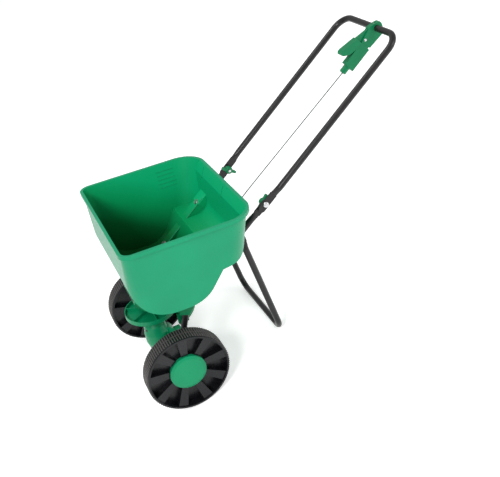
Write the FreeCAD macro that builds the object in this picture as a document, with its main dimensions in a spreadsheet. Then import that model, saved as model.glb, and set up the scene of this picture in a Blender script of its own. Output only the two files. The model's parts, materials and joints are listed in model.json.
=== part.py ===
import FreeCAD, Part
import math
import os
import Sketcher

# Broadcast garden spreader: plastic hopper on two bent tubes, folding push handle with a squeeze
# trigger, two wheels, skew gear drive to a spinning impeller, and a U stand.
# Design frame: axle centre at the origin, X across (operator's left is +X), Y to the rear, hopper
# rim level. Everything is then tipped back until the wheels and the stand both touch the ground.

Vector = FreeCAD.Vector
Rotation = FreeCAD.Rotation
Placement = FreeCAD.Placement

doc = FreeCAD.newDocument("garden_spreader")
sheet = doc.addObject("Spreadsheet::Sheet", "dims")

DIMENSIONS = {
    # tubes, frame and stand
    "tube_radius": 9.5, "tube_wall": 1.5, "flat_thick": 5, "flat_half": 13, "eye_half": 11, "flat_gap": 0.4,
    "frame_x": 136.5, "upper_x": 149.5, "fold_y": 339, "fold_z": 401, "handle_tilt": 38.5,
    "bend_y": 62, "bend_z": 181, "bend_radius": 60,
    "stand_y": 326, "stand_z": -35, "stand_x": 148.5, "stand_corner": 42, "stand_bolt_s": 117,
    "handle_length": 583, "handle_corner": 46,
    # wheels and axle
    "wheel_radius": 125, "wheel_width": 53.4, "wheel_x": 170.5, "tread_thick": 8,
    "spokes": 9, "spoke_width": 30, "spoke_root": 19, "web_near": 22, "web_far": 28, "seat_radius": 56, "seat_far": 36,
    "hub_radius": 15, "cap_radius": 54.5, "axle_radius": 6, "axle_half": 214, "running_gap": 0.05,
    # hopper
    "rim_z": 442, "rim_x": 238, "rim_front": -101, "rim_rear": 272, "wall": 3,
    "corner_front": 28, "corner_rear": 72,
    "lip": 6, "lip_drop": 11, "side_lean": 9,
    "trough_y": 22, "trough_z": 322, "trough_radius": 123,
    "back_y": 54, "back_radius": 90, "back_slope": 56, "step_z": 289,
    "lobe_y": 203, "lobe_z": 340, "lobe_radius": 47,
    "cover_half": 17, "cover_top": 18, "groove_half": 10, "groove_top": 9.9,
    "sump_radius": 46, "sump_z": 186, "flange_x": 60, "flange_y": 50,
    "bolt_front_s": 304.6, "bolt_rear_s": 140, "screw_radius": 3,
    # spinner drive
    "shaft_y": -26, "shaft_radius": 4, "shaft_bottom": -36, "shaft_top": 232,
    "impeller_radius": 78, "impeller_z": 98, "impeller_lip": 14, "plate_thick": 3, "shield_radius": 136,
    "axle_gear_radius": 19.5, "axle_gear_teeth": 18, "spinner_gear_radius": 6.5,
    "spinner_gear_teeth": 6, "tooth_up": 1.3, "tooth_down": 1.7,
    "axle_gear_width": 16, "spinner_gear_width": 20,
    # shut-off
    "shutter_z": 182.4, "shutter_thick": 2.8, "shutter_half": 52, "port_half": 13, "port_open": 4,
    "chute_radius": 40, "chute_top": 175, "chute_bottom": 124, "cable_x": 27.5, "cable_radius": 1.5,
    "cable_gap": 2.2,
    # trigger
    "trigger_x": 30, "trigger_half": 9, "lever_half": 4.7, "flange_half": 11.6, "slot_half": 5,
    "pivot_s": 46, "pivot_n": 6, "pin_radius": 2.5, "box_start": 58.5, "box_end": 134,
    "adjuster_end": 156, "adjuster_n": -6, "adjuster_radius": 10,
}


def fill_sheet():
    row = 1
    for alias, value in DIMENSIONS.items():
        cell = "A" + str(row)
        sheet.set(cell, str(value))
        sheet.setAlias(cell, alias)
        row += 1
    doc.recompute()


fill_sheet()


class Sizes:
    """Plain numbers read back from the sheet."""

    def __getattr__(self, alias):
        return float(getattr(sheet, alias))


size = Sizes()
nodes = []


def expression(text):
    """Turn names of sheet cells in a short formula into references to the sheet."""
    words = []
    word = ""
    for letter in str(text) + " ":
        if letter.isalnum() or letter in "_.":
            word += letter
        else:
            if word:
                words.append("dims." + word if word in DIMENSIONS else word)
            word = ""
            words.append(letter)
    return "".join(words).strip()


def value(text):
    """Number that a short formula of sheet names stands for."""
    return float(sheet.evalExpression(expression(text)))


def frame(x=0, y=0, z=0, turn=0):
    """Local frame moved to a point and turned about X."""
    return Placement(Vector(x, y, z), Rotation(Vector(1, 0, 0), turn))


DESIGN = Placement()
HANDLE = frame(0, size.fold_y, size.fold_z, size.handle_tilt)
SHAFT = frame(0, size.shaft_y, 0)
TO_X = Rotation(Vector(0, 1, 0), 90)


def along_x(x, y, z):
    return Placement(Vector(x, y, z), TO_X)


def node(solid, name, base=DESIGN):
    """Give a finished sub-part its name and its place in the design frame."""
    solid.Label = name
    solid.Placement = base.multiply(solid.Placement)
    nodes.append(solid)
    return solid


# ---------------------------------------------------------------- building blocks

def cylinder(radius, height, where=DESIGN):
    solid = doc.addObject("Part::Cylinder", "Cylinder")
    solid.setExpression("Radius", expression(radius))
    solid.setExpression("Height", expression(height))
    solid.Placement = where
    return solid


def rod_x(radius, start, end, y=0, z=0):
    """Round rod along X from start to end."""
    rod = cylinder(radius, "(" + str(end) + ") - (" + str(start) + ")")
    rod.Placement = along_x(value(start), y, z)
    return rod


def box(low, high):
    """Block between two corners given as formulas."""
    solid = doc.addObject("Part::Box", "Box")
    for side, near, far in zip(("Length", "Width", "Height"), low, high):
        solid.setExpression(side, expression("(" + str(far) + ") - (" + str(near) + ")"))
    solid.Placement = Placement(Vector(*[value(corner) for corner in low]), Rotation())
    return solid


def fuse(*solids):
    joined = doc.addObject("Part::MultiFuse", "Fusion")
    joined.Shapes = list(solids)
    joined.Refine = True
    return joined


def cut(base, *tools):
    removed = doc.addObject("Part::Cut", "Cut")
    removed.Base = base
    removed.Tool = tools[0] if len(tools) == 1 else fuse(*tools)
    removed.Refine = True
    return removed


def group(*solids):
    """Separate solids kept in one sub-part."""
    together = doc.addObject("Part::Compound", "Group")
    together.Links = list(solids)
    return together


def outline(body, points, plane, offset="0"):
    """Closed sketch whose corners are held by sheet formulas."""
    sketch = body.newObject("Sketcher::SketchObject", "Outline")
    for origin_plane in body.Origin.OriginFeatures:
        if origin_plane.Role == plane:
            sketch.AttachmentSupport = [(origin_plane, "")]
    sketch.MapMode = "FlatFace"
    sketch.setExpression(".AttachmentOffset.Base.z", expression(offset))
    corners = [Vector(value(across), value(up), 0) for across, up in points]
    for index, corner in enumerate(corners):
        following = corners[(index + 1) % len(corners)]
        sketch.addGeometry(Part.LineSegment(corner, following), False)
    for index, (across, up) in enumerate(points):
        following = (index + 1) % len(points)
        sketch.addConstraint(Sketcher.Constraint("Coincident", index, 2, following, 1))
        for kind, text, number in (("DistanceX", across, corners[index].x),
                                   ("DistanceY", up, corners[index].y)):
            held = sketch.addConstraint(Sketcher.Constraint(kind, -1, 1, index, 1, number))
            sketch.setExpression("Constraints[" + str(held) + "]", expression(text))
    return sketch


def turned(points, axis="V_Axis"):
    """Lathe work: outline in the XZ plane turned about Z (V_Axis) or about X (H_Axis)."""
    body = doc.addObject("PartDesign::Body", "Turned")
    sketch = outline(body, points, "XZ_Plane")
    turning = body.newObject("PartDesign::Revolution", "Revolution")
    turning.Profile = sketch
    turning.ReferenceAxis = (sketch, [axis])
    turning.Angle = 360
    return body


def padded(points, start, end, plane="YZ_Plane"):
    """Outline in a plane, extruded along the plane's normal from start to end."""
    body = doc.addObject("PartDesign::Body", "Padded")
    sketch = outline(body, points, plane, start)
    pad = body.newObject("PartDesign::Pad", "Pad")
    pad.Profile = sketch
    pad.setExpression("Length", expression("(" + str(end) + ") - (" + str(start) + ")"))
    return body


def run(start, end, radius="tube_radius"):
    """Straight round bar between two points."""
    way = end - start
    bar = doc.addObject("Part::Cylinder", "Run")
    bar.setExpression("Radius", expression(radius))
    bar.Height = way.Length
    bar.Placement = Placement(start, Rotation(Vector(0, 0, 1), way))
    return bar


def bent_tube(points, bends, radius="tube_radius"):
    """Straight runs joined by tangent bends, one bend radius for each inner point."""
    pieces = []
    begin = points[0]
    for index, bend in enumerate(bends):
        corner = points[index + 1]
        towards = (points[index] - corner).normalize()
        away = (points[index + 2] - corner).normalize()
        half = towards.getAngle(away) / 2
        reach = bend / math.tan(half)
        first = corner + towards * reach
        last = corner + away * reach
        centre = corner + (towards + away).normalize() * (bend / math.sin(half))
        ring = doc.addObject("Part::Torus", "Bend")
        ring.Radius1 = bend
        ring.setExpression("Radius2", expression(radius))
        ring.Angle3 = 180 - math.degrees(2 * half)
        normal = towards.cross(away)
        spoke = first - centre
        turn = Rotation(spoke, (first - centre).cross(normal) * -1, normal * -1, "XZY")
        if (turn.multVec(Vector(0, 1, 0))).dot(corner - first) < 0:
            turn = Rotation(spoke, spoke.cross(normal), normal, "XZY")
        ring.Placement = Placement(centre, turn)
        pieces += [run(begin, first, radius), ring]
        begin = last
    pieces.append(run(begin, points[-1], radius))
    return fuse(*pieces)


def hollow_tube(points, bends):
    """Bent steel tube of the frame's size, with its bore."""
    return cut(bent_tube(points, bends), bent_tube(points, bends, "tube_radius - tube_wall"))


def flattened_end(centre, inward, side, shift, plate_back, plate_front, half="flat_half"):
    """Pressed flat end of a tube: round section, taper and a flat eye with a round nose.

    centre is the eye, inward points along the tube, side is across the flat, and shift moves the
    flat sideways. The plate reaches plate_back into the tube and plate_front past the eye.
    """
    taper = 24
    wide = value(half)
    flat_centre = centre + side * shift
    across = side.cross(inward)
    turn = Rotation(across, side, inward, "ZXY")
    round_end = doc.addObject("Part::Circle", "RoundEnd")
    round_end.setExpression("Radius", expression("tube_radius"))
    round_end.Placement = Placement(centre + inward * (plate_back + taper), turn)
    oval_end = doc.addObject("Part::Ellipse", "OvalEnd")
    oval_end.setExpression("MajorRadius", expression(half))
    oval_end.setExpression("MinorRadius", expression("flat_thick / 2"))
    oval_end.Placement = Placement(flat_centre + inward * plate_back, turn)
    neck = doc.addObject("Part::Loft", "Neck")
    neck.Sections = [round_end, oval_end]
    neck.Solid = True
    thick = size.flat_thick
    plate = doc.addObject("Part::Box", "Plate")
    plate.setExpression("Length", expression("2 * " + half))
    plate.setExpression("Width", expression("flat_thick"))
    plate.Height = plate_back + plate_front - wide + 1
    corner = flat_centre - across * wide - side * (thick / 2)
    corner += inward * (wide - plate_front)
    plate.Placement = Placement(corner, turn)
    nose = doc.addObject("Part::Cylinder", "Nose")
    nose.setExpression("Radius", expression(half))
    nose.setExpression("Height", expression("flat_thick"))
    nose_turn = Rotation(across, inward * -1, side, "ZXY")
    nose_centre = flat_centre + inward * (wide - plate_front) - side * (thick / 2)
    nose.Placement = Placement(nose_centre, nose_turn)
    return [neck, plate, nose]


# ---------------------------------------------------------------- hopper

def side_profile(top):
    """Side outline of the hopper as a face in the YZ plane: wall, round trough, rear lobe, rim."""
    def at(y, z):
        return Vector(0, y, z)

    def arc(y, z, radius, first, last):
        points = []
        for angle in (first, (first + last) / 2, last):
            turn = math.radians(angle)
            points.append(at(y + radius * math.cos(turn), z + radius * math.sin(turn)))
        return Part.Arc(*points).toShape(), points[0], points[2]

    front = at(size.rim_front, top)
    trough, trough_start, trough_end = arc(size.trough_y, size.trough_z, size.trough_radius, 180, 270)
    back_z = trough_end.z + size.back_radius
    back, back_start, back_stop = arc(size.back_y, back_z, size.back_radius, 270, 270 + size.back_slope)
    rise = size.step_z - back_stop.z
    step = at(back_stop.y + rise / math.tan(math.radians(size.back_slope)), size.step_z)
    lobe, lobe_start, lobe_end = arc(size.lobe_y, size.lobe_z, size.lobe_radius, 270, 360)
    wall_top = at(size.rim_rear - 16, size.rim_z - 37)
    rear = at(size.rim_rear, size.rim_z)
    corners = [(front, trough_start), (trough_end, back_start), (back_stop, step),
               (step, lobe_start), (lobe_end, wall_top), (wall_top, rear)]
    if top > size.rim_z:
        over = at(size.rim_rear, top)
        corners += [(rear, over), (over, front)]
    else:
        corners.append((rear, front))
    edges = [Part.makeLine(first, last) for first, last in corners] + [trough, back, lobe]
    return Part.Face(Part.Wire(Part.__sortEdges__(edges)))


def rounded_rectangle(half_x, front, rear, front_radius, rear_radius, z):
    """Level outline with its own corner radii at the front and at the rear."""
    def corner(x, y, radius, first):
        points = []
        for angle in (first, first + 45, first + 90):
            turn = math.radians(angle)
            points.append(Vector(x + radius * math.cos(turn), y + radius * math.sin(turn), z))
        return points

    corners = [corner(half_x - rear_radius, rear - rear_radius, rear_radius, 0),
               corner(rear_radius - half_x, rear - rear_radius, rear_radius, 90),
               corner(front_radius - half_x, front + front_radius, front_radius, 180),
               corner(half_x - front_radius, front + front_radius, front_radius, 270)]
    edges = []
    for index, points in enumerate(corners):
        edges.append(Part.Arc(*points).toShape())
        edges.append(Part.makeLine(points[2], corners[(index + 1) % 4][0]))
    return Part.Wire(edges)


def hopper_body(inset):
    """Tapered rounded block whose walls lean in towards the bottom."""
    depth = size.rim_z - size.sump_z
    lean = depth * math.tan(math.radians(size.side_lean))
    top = rounded_rectangle(size.rim_x - inset, size.rim_front + inset, size.rim_rear - inset,
                            size.corner_front - inset, size.corner_rear - inset, size.rim_z)
    bottom = rounded_rectangle(size.rim_x - lean - inset, size.rim_front + inset,
                               size.rim_rear - 40 - inset, 56 - inset, 76 - inset, size.sump_z)
    return Part.makeLoft([bottom, top], True, True)


def swept_across(face):
    width = 2 * size.rim_x + 20
    return face.translated(Vector(-width / 2, 0, 0)).extrude(Vector(width, 0, 0))


def slab(half_x, front, rear, front_radius, rear_radius, low, high):
    wire = rounded_rectangle(half_x, front, rear, front_radius, rear_radius, low)
    return Part.Face(wire).extrude(Vector(0, 0, high - low))


def handle_box(x, half, low_y, high_y, low_z, high_z):
    """Block lined up with the frame tubes."""
    block = Part.makeBox(2 * half, high_y - low_y, high_z - low_z, Vector(x - half, low_y, low_z))
    block.Placement = HANDLE
    return block


def ports():
    """Three drop slots round the spinner shaft."""
    slots = []
    for x, y in ((0, 30), (-20, -22), (20, -22)):
        centre_y = size.shaft_y + y
        low = Vector(x - size.port_half, centre_y - size.port_open / 2, size.sump_z - 8)
        slots.append(Part.makeBox(2 * size.port_half, size.port_open, 16, low))
    return slots


def hopper_shape():
    wall = size.wall
    outer = hopper_body(0).common(swept_across(side_profile(size.rim_z)))
    inner_face = side_profile(size.rim_z + 20).makeOffset2D(-wall)
    inner = hopper_body(wall).common(swept_across(inner_face))
    covers = []
    grooves = []
    holes = []
    for side in (-1, 1):
        x = side * size.frame_x
        covers.append(handle_box(x, size.cover_half, -330, -84, -60, size.cover_top))
        grooves.append(handle_box(x, size.groove_half, -340, -70, -60, size.groove_top))
        covers.append(handle_box(side * 138.5, 24, -140, -84, -60, size.cover_top))
        grooves.append(handle_box(side * 138.5, 21, -136, -70, -60, 15))
        for along in (size.bolt_front_s, size.bolt_rear_s):
            hole = Part.makeCylinder(size.screw_radius + 0.2, 40, Vector(x, -along, 0))
            hole.Placement = HANDLE
            holes.append(hole)
    inner = inner.cut(covers)
    sump_top = size.sump_z + 70
    centre = Vector(0, size.shaft_y, size.sump_z)
    sump = Part.makeCylinder(size.sump_radius, sump_top - size.sump_z, centre)
    well_floor = centre + Vector(0, 0, wall)
    well = Part.makeCylinder(size.sump_radius - wall, sump_top - size.sump_z, well_floor)
    flange_low = Vector(-size.flange_x, size.shaft_y - size.flange_y, size.sump_z)
    flange = Part.makeBox(2 * size.flange_x, 2 * size.flange_y, wall, flange_low)
    shell = outer.fuse([sump.cut(outer), flange.cut(outer)]).cut(inner).cut(well)
    shaft_hole = Part.makeCylinder(size.shaft_radius + 1, 20, centre - Vector(0, 0, 8))
    shell = shell.cut(grooves + holes + ports() + [shaft_hole])
    lip = size.lip
    low = size.rim_z - size.lip_drop
    front, rear = size.corner_front, size.corner_rear
    skirt = slab(size.rim_x + lip, size.rim_front - lip, size.rim_rear + lip, front + lip, rear + lip,
                 low, size.rim_z)
    under = slab(size.rim_x + lip - wall, size.rim_front - lip + wall, size.rim_rear + lip - wall,
                 front + wall, rear + wall, low, size.rim_z - wall)
    mouth = slab(size.rim_x - 1, size.rim_front + 1, size.rim_rear - 1, front - 1, rear - 1,
                 low - 1, size.rim_z + 1)
    rim = skirt.cut([under.cut(mouth), mouth]).cut(hopper_body(wall))
    return shell.fuse(rim).removeSplitter()


def hopper():
    feature = doc.addObject("Part::Feature", "Hopper")
    feature.Shape = hopper_shape()
    return node(feature, "hopper")


def hopper_bolts():
    """Four pan-head bolts through the tube covers, each with a washer and a nut."""
    bolts = []
    for side in (-1, 1):
        for along in ("bolt_front_s", "bolt_rear_s"):
            where = frame(side * size.frame_x, -value(along), 0)
            washer = cylinder("8.5", "1.2", frame(0, 0, size.cover_top))
            head = cylinder("6.5", "3.2", frame(0, 0, size.cover_top + 1))
            shank = cylinder("screw_radius", "cover_top + 16", frame(0, 0, -15))
            nut = cylinder("5.8", "4.5", frame(0, 0, -size.tube_radius - 4.6))
            bolt = fuse(washer, head, shank, nut)
            bolt.Placement = where
            bolts.append(bolt)
    return node(group(*bolts), "hopper_bolts", HANDLE)


# ---------------------------------------------------------------- frame and stand

def frame_path():
    """Centre line of a frame tube in the handle frame, from the fold eye to the axle eye."""
    back = HANDLE.inverse()
    bend = back.multVec(Vector(0, size.bend_y, size.bend_z))
    axle = back.multVec(Vector(0, 0, 0))
    return bend, axle


def frame_tube(side, name):
    bend, axle = frame_path()
    x = side * size.frame_x
    across = Vector(x, 0, 0)
    down = (axle - bend).normalize()
    top_start = Vector(0, -60, 0)
    low_start = axle - down * 44
    tube = hollow_tube([top_start + across, bend + across, low_start + across], [size.bend_radius])
    top_shift = side * (6.5 - size.flat_thick / 2)
    out = Vector(1, 0, 0)
    top = flattened_end(across, Vector(0, -1, 0), out, top_shift, 36, 12, "eye_half")
    low = flattened_end(axle + across, down * -1, out, 0, 20, 14)
    joined = fuse(tube, *top, *low)
    eye = rod_x("4.1", x - 20, x + 20)
    hub = rod_x("9", x - 20, x + 20, axle.y, axle.z)
    stand_hole = rod_x("screw_radius + 0.2", x - 20, x + 20, -size.stand_bolt_s, 0)
    holes = [eye, hub, stand_hole]
    for along in ("bolt_front_s", "bolt_rear_s"):
        holes.append(cylinder("screw_radius + 0.2", "60", frame(x, -value(along), -30)))
    return node(cut(joined, *holes), name, HANDLE)


def frame_saddles():
    """Moulded blocks that hold the frame tubes at their bend, under the trough."""
    bend, axle = frame_path()
    down = (axle - bend).normalize()
    saddles = []
    for side in (-1, 1):
        x = side * size.frame_x
        across = Vector(x, 0, 0)
        block = padded([("28", "150"), ("54", "141"), ("86", "176"), ("86", "198.4"), ("38", "198.4")],
                       "0 - 14", "14")
        block.Placement = Placement(across, Rotation())
        channel = bent_tube([Vector(x, -60, 0), bend + across, axle - down * 44 + across],
                            [size.bend_radius], "tube_radius + 0.15")
        channel.Placement = HANDLE
        saddles.append(cut(block, channel))
    return node(group(*saddles), "frame_saddles")


def stand():
    """U stand: two legs with flattened eyes and a ground bar."""
    top = HANDLE.multVec(Vector(0, -size.stand_bolt_s, 0))
    foot = Vector(0, size.stand_y, size.stand_z)
    down = (foot - top).normalize()
    left = Vector(size.stand_x, 0, 0)
    begin = top + down * 42
    points = [begin + left, foot + left, foot - left, begin - left]
    legs = hollow_tube(points, [size.stand_corner, size.stand_corner])
    out = Vector(1, 0, 0)
    eyes = flattened_end(top + left, down, out, 0, 18, 14)
    eyes += flattened_end(top - left, down, out, 0, 18, 14)
    holes = [rod_x("screw_radius + 0.2", side * size.stand_x - 10, side * size.stand_x + 10, top.y, top.z)
             for side in (-1, 1)]
    return node(cut(fuse(legs, *eyes), *holes), "stand")


def stand_bolts():
    top = HANDLE.multVec(Vector(0, -size.stand_bolt_s, 0))
    outside = size.stand_x + size.flat_thick / 2
    inside = size.frame_x - size.tube_radius
    bolts = []
    for side in (-1, 1):
        bolt = turned([(str(inside - 6), "0"), (str(inside - 6), "3"), (str(inside - 5), "3"),
                       (str(inside - 5), "5.6"), (str(inside - 0.1), "5.6"),
                       (str(inside - 0.1), "screw_radius"), (str(outside), "screw_radius"),
                       (str(outside), "6.5"), (str(outside + 3), "5"), (str(outside + 3), "0")],
                      "H_Axis")
        turn = Rotation(Vector(0, 0, 1), 0 if side > 0 else 180)
        bolt.Placement = Placement(Vector(0, top.y, top.z), turn)
        bolts.append(bolt)
    return node(group(*bolts), "stand_bolts")


def carriage_bolt(side, name):
    """Domed bolt that the upper tube folds about."""
    dome_x = size.upper_x + 0.4
    bolt = turned([("119", "0"), ("119", "4"), (str(dome_x), "4"), (str(dome_x), "9"),
                   (str(dome_x + 2), "8"), (str(dome_x + 4.4), "4.5"), (str(dome_x + 5), "0")], "H_Axis")
    if side < 0:
        bolt.Placement = Placement(Vector(), Rotation(Vector(0, 0, 1), 180))
    return node(bolt, name, HANDLE)


def wing_nut(side, name, lean):
    """Moulded wing knob on the inner end of the fold bolt."""
    hub = turned([("121", "4.1"), ("121", "9.5"), ("123", "11"), ("137.2", "11"), ("137.2", "4.1")],
                 "H_Axis")
    wings = []
    for end in (-1, 1):
        wing = box(("122", "0 - 4", "8"), ("133", "4", "20"))
        tip = rod_x("4", "122", "133", 0, 20)
        pair = fuse(wing, tip)
        pair.Placement = Placement(Vector(), Rotation(Vector(1, 0, 0), lean + (0 if end > 0 else 180)))
        wings.append(pair)
    knob = fuse(hub, *wings)
    if side < 0:
        knob.Placement = Placement(Vector(), Rotation(Vector(0, 0, 1), 180))
    return node(knob, name, HANDLE)


# ---------------------------------------------------------------- handle and trigger

def handle():
    """Upper U tube with flattened lower ends."""
    left = Vector(size.upper_x, 0, 0)
    start = Vector(0, 60, 0)
    bar = Vector(0, size.handle_length, 0)
    tube = hollow_tube([start + left, bar + left, bar - left, start - left],
                       [size.handle_corner, size.handle_corner])
    shift = size.frame_x + 6.5 + size.flat_gap + size.flat_thick / 2 - size.upper_x
    ends = flattened_end(left, Vector(0, 1, 0), Vector(1, 0, 0), shift, 36, 28, "eye_half")
    ends += flattened_end(left * -1, Vector(0, 1, 0), Vector(1, 0, 0), -shift, 36, 28, "eye_half")
    eyes = [rod_x("4.1", side * size.upper_x - 20, side * size.upper_x + 20) for side in (-1, 1)]
    return node(cut(fuse(tube, *ends), *eyes), "handle", HANDLE)


def along(distance):
    """Handle-frame Y of a place measured down from the crossbar."""
    return "handle_length - (" + str(distance) + ")"


def trigger_outline(points):
    return [(along(down), str(out)) for down, out in points]


# Clamp screws: place across the bar's axis, and how far past it the head sits
CLAMP_SCREWS = ((-19, 6), (12.4, 4))


def trigger_bracket():
    """Lower half of the bar clamp with two cheeks for the lever, and the closed cable housing."""
    low = "trigger_x - trigger_half"
    high = "trigger_x + trigger_half"
    body = padded(trigger_outline([(0.2, -26), (52, -23), (54, -18), (58, -18), (58, -25), (134, -25.5),
                                   (134, 10), (58, 10), (50, 13), (12, 20), (0.2, 16)]), low, high)
    bar = rod_x("tube_radius + 0.05", 0, 60, size.handle_length, 0)
    slot = box(("trigger_x - slot_half", along("box_start"), "0 - 20.5"),
               ("trigger_x + slot_half", along(18), "30"))
    pin = rod_x("pin_radius", 0, 60, value(along("pivot_s")), size.pivot_n)
    wire = doc.addObject("Part::Cylinder", "Bore")
    wire.Radius = 2.2
    wire.setExpression("Height", expression("box_end - box_start + 4"))
    wire.Placement = Placement(Vector(size.trigger_x, value(along("box_start - 2")), -12),
                               Rotation(Vector(1, 0, 0), 90))
    screws = [screw_hole(out) for out, head in CLAMP_SCREWS]
    return node(cut(body, bar, slot, pin, wire, *screws), "trigger_bracket", HANDLE)


def screw_hole(out):
    """Hole for a clamp screw, across the split between cap and bracket."""
    hole = cylinder("1.7", "50")
    hole.Placement = Placement(Vector(size.trigger_x, size.handle_length + 26, out),
                               Rotation(Vector(1, 0, 0), 90))
    return hole


def screw_seat(out, head):
    """Flat recess in the cap under a screw head."""
    seat = cylinder("3.2", "30")
    seat.Placement = Placement(Vector(size.trigger_x, size.handle_length + head + 30, out),
                               Rotation(Vector(1, 0, 0), 90))
    return seat


def trigger_clamp():
    """Upper half of the bar clamp."""
    body = padded(trigger_outline([(-0.2, -26), (-0.2, 16), (-10, 12), (-19, 7), (-20, 0), (-16, -11),
                                   (-9, -18), (-7, -26)]),
                  "trigger_x - trigger_half", "trigger_x + trigger_half")
    bar = rod_x("tube_radius + 0.05", 0, 60, size.handle_length, 0)
    holes = [screw_hole(out) for out, head in CLAMP_SCREWS]
    seats = [screw_seat(out, head) for out, head in CLAMP_SCREWS]
    return node(cut(body, bar, *holes, *seats), "trigger_clamp", HANDLE)


def trigger_screws():
    screws = []
    for out, head in CLAMP_SCREWS:
        screw = turned([("0", "0"), ("1.6", "0"), ("1.6", "22"), ("3", "22"), ("2.4", "23.8"),
                        ("0", "23.8")])
        screw.Placement = Placement(Vector(size.trigger_x, size.handle_length + head + 0.1 - 22, out),
                                    Rotation(Vector(1, 0, 0), -90))
        screws.append(screw)
    return node(group(*screws), "trigger_screws", HANDLE)


def trigger_lever():
    """Squeeze lever: an open channel over the cable housing, and a cable arm below the pivot."""
    web = padded(trigger_outline([(20, 9), (19, 19), (112, 44), (119, 43.5), (116, 28.5), (104, 25.5),
                                  (62, 16.5), (57, 13.4), (54, 8), (51, -15), (46, -18), (41, -15),
                                  (38, 0)]),
                 "trigger_x - lever_half", "trigger_x + lever_half")
    shell = padded(trigger_outline([(60, 11.5), (60, 30.1), (112, 44), (119, 43.5), (124, 39), (123, 33),
                                    (116, 26), (106, 17.5), (84, 11.5)]),
                   "trigger_x - flange_half", "trigger_x + flange_half")
    room = padded(trigger_outline([(59, 0), (59, 26.5), (112, 40.7), (118, 40), (120.5, 37), (119.5, 34),
                                   (116, 30), (108, 0)]),
                  "trigger_x - flange_half + 2", "trigger_x + flange_half - 2")
    hole = rod_x("pin_radius + running_gap", 0, 60, value(along("pivot_s")), size.pivot_n)
    return node(cut(fuse(cut(shell, room), web), hole), "trigger_lever", HANDLE)


def trigger_pin():
    x = size.trigger_x
    half = size.trigger_half
    pin = turned([(str(x - half - 6), "0"), (str(x - half - 6), "pin_radius"),
                  (str(x + half), "pin_radius"), (str(x + half), "4.6"), (str(x + half + 1.6), "3.6"),
                  (str(x + half + 1.6), "0")], "H_Axis")
    pin.Placement = frame(0, value(along("pivot_s")), size.pivot_n)
    return node(pin, "trigger_pin", HANDLE)


def trigger_spring():
    """Torsion spring on the far end of the trigger pin."""
    coils = []
    for turn in range(3):
        coil = doc.addObject("Part::Torus", "Coil")
        coil.Radius1 = 3.7
        coil.Radius2 = 0.7
        coil.Placement = along_x(size.trigger_x - size.trigger_half - 1 - 1.3 * turn, 0, 0)
        coils.append(coil)
    leg = cylinder("0.7", "22", frame(size.trigger_x - size.trigger_half - 1, -3.7, 0, 90))
    leg.Placement = Placement(Vector(size.trigger_x - size.trigger_half - 1, 0, -3.7),
                              Rotation(Vector(1, 0, 0), 90))
    spring = fuse(*coils, leg)
    spring.Placement = frame(0, value(along("pivot_s")), size.pivot_n)
    return node(spring, "trigger_spring", HANDLE)


def cable_adjuster():
    """Threaded cable stop at the end of the housing."""
    body = turned([("1.6", "0"), ("adjuster_radius", "0"), ("adjuster_radius", "19"), ("8", "22"),
                   ("1.6", "22")])
    body.Placement = Placement(Vector(size.trigger_x, value(along("box_end")), size.adjuster_n),
                               Rotation(Vector(1, 0, 0), 90))
    return node(body, "cable_adjuster", HANDLE)


# ---------------------------------------------------------------- control cable

def cable_upper():
    """Tight straight cable from the trigger to the fold line."""
    start = Vector(size.trigger_x, value(along("adjuster_end + 0.1")), size.adjuster_n - 1)
    end = Vector(size.cable_x, size.cable_gap, 0)
    return node(run(start, end, "cable_radius"), "cable_upper", HANDLE)


def cable_lower():
    """Cable from the fold line under the hopper to the shut-off."""
    route = [(339, 401), (304, 373), (278, 342), (256, 307), (226, 277), (193, 245), (166, 209), (141, 184),
             (117, 184)]
    points = [Vector(size.cable_x, y, z) for y, z in route]
    points[0] += (points[1] - points[0]).normalize() * size.cable_gap
    bends = []
    for index in range(1, len(points) - 1):
        before = points[index] - points[index - 1]
        after = points[index + 1] - points[index]
        shorter = min(before.Length, after.Length)
        bends.append(0.45 * shorter / math.tan(before.getAngle(after) / 2))
    print("cable bends", [round(bend) for bend in bends])
    return node(bent_tube(points, bends, "cable_radius"), "cable_lower")


# ---------------------------------------------------------------- shut-off

def shutoff_plate():
    """Slide under the hopper with three slots, a tail and a wire lug."""
    top = "shutter_z + shutter_thick"
    rear = "shaft_y + flange_y - 4"
    plate = box(("0 - shutter_half", "shaft_y - flange_y + 4", "shutter_z"), ("shutter_half", rear, top))
    tail = box(("cable_x - 7", "shaft_y", "shutter_z"), ("cable_x + 7", "60", top))
    lug = box(("cable_x - 4", "54", "shutter_z"), ("cable_x + 4", "60", "shutter_z + 5.5"))
    slots = []
    for x, y in ((0, 30), (-20, -22), (20, -22)):
        slot = box((str(x) + " - port_half", "shaft_y - port_open * 1.5 - 0.2 + " + str(y), "shutter_z - 1"),
                   (str(x) + " + port_half", "shaft_y - port_open / 2 - 0.2 + " + str(y), top + " + 1"))
        slots.append(slot)
    room = box(("0 - shaft_radius - 1", "shaft_y - shaft_radius - 6", "shutter_z - 1"),
               ("shaft_radius + 1", "shaft_y + shaft_radius + 1", top + " + 1"))
    return node(cut(fuse(plate, tail, lug), room, *slots), "shutoff_plate")


def pull_wire():
    """Inner wire from the lug into the cable end."""
    start = Vector(size.cable_x, 60, 184)
    end = Vector(size.cable_x, 98, 184)
    return node(run(start, end, "0.8"), "pull_wire")


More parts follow.
